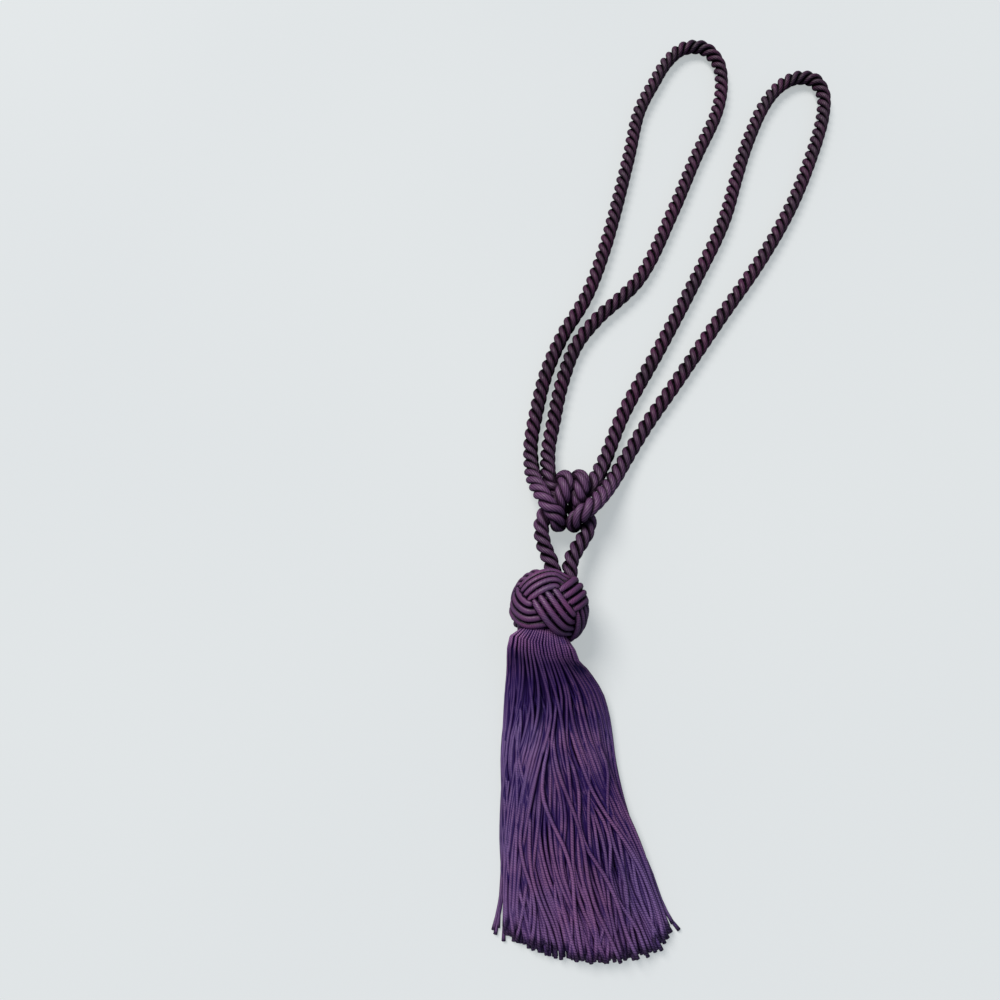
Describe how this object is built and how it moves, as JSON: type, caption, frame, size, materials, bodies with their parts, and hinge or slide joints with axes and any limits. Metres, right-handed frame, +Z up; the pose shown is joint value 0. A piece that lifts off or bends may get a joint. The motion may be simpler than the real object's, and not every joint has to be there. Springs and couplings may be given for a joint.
{
  "type": "curtain tieback tassel",
  "caption": "Tieback for a curtain: long rope loops tied in a knot above a woven ball head and a full skirt of cut strands.",
  "frame": {"origin": "the flat spot under the woven head, where it rests on the surface it lies on", "axes": "+Z up from the surface, +Y from the skirt towards the rope loops, +X across the tassel"},
  "size_m": [0.231, 0.5799, 0.0424],
  "materials": {
    "rope": "satin",
    "head": "satin",
    "skirt": "satin"
  },
  "bodies": {
    "root": {"rope": "rope", "head": "head", "skirt": "skirt"}
  },
  "joints": []
}
